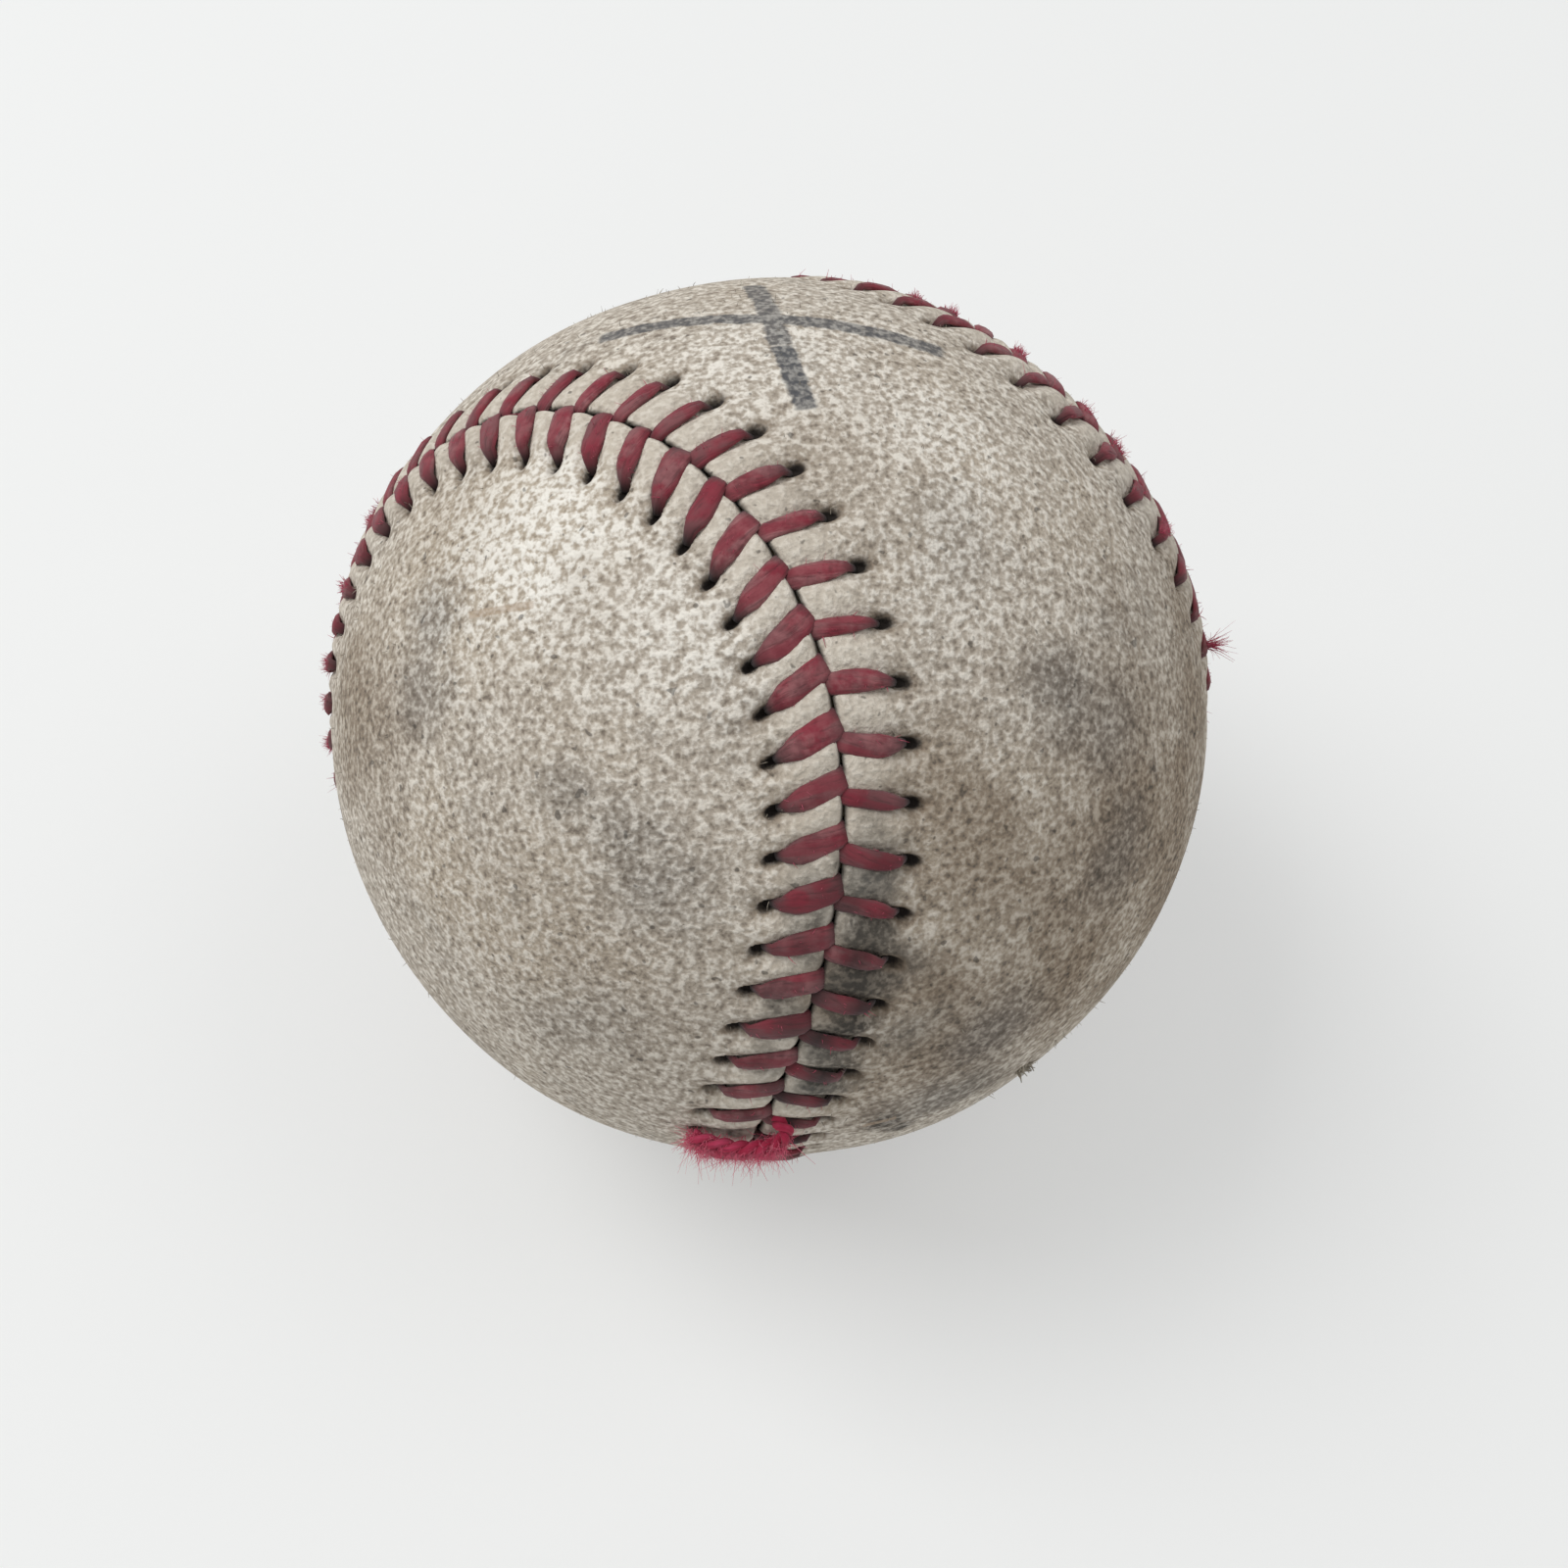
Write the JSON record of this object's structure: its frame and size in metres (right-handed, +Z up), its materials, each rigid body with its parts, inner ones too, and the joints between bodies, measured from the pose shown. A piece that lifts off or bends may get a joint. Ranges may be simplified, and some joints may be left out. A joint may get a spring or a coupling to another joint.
{
  "type": "baseball",
  "caption": "Sewn leather ball with a cork and rubber centre, wound yarn layers, figure-eight cover panels and red double stitching along the seam, for throwing and batting.",
  "frame": {"origin": "centre of the ball", "axes": "+Z up as the ball lies in the picture, -Y towards the picture's camera, +X to its right; the two-fold axis of the seam leans about 19 degrees from +Z"},
  "size_m": [0.0761, 0.0762, 0.0754],
  "materials": {
    "cork": "matte cork and rubber composition",
    "black_rubber": "moulded, matte",
    "red_rubber": "moulded, matte",
    "grey_wool": "wound wool yarn",
    "white_wool": "wound wool yarn",
    "white_cotton": "fine wound finishing yarn",
    "cement": "dried rubber cement",
    "cover_leather": "worn, scuffed and soiled",
    "red_thread": "waxed, worn and soiled"
  },
  "bodies": {
    "root": {"cork_core": "cork", "black_rubber_cup_a": "black_rubber", "black_rubber_cup_b": "black_rubber", "cup_gasket": "red_rubber", "red_rubber_layer": "red_rubber", "first_winding": "grey_wool", "second_winding": "white_wool", "third_winding": "grey_wool", "finishing_winding": "white_cotton", "cement_film": "cement", "cover_panel_a": "cover_leather", "cover_panel_b": "cover_leather", "stitch_thread_a": "red_thread", "stitch_thread_b": "red_thread"}
  },
  "joints": []
}
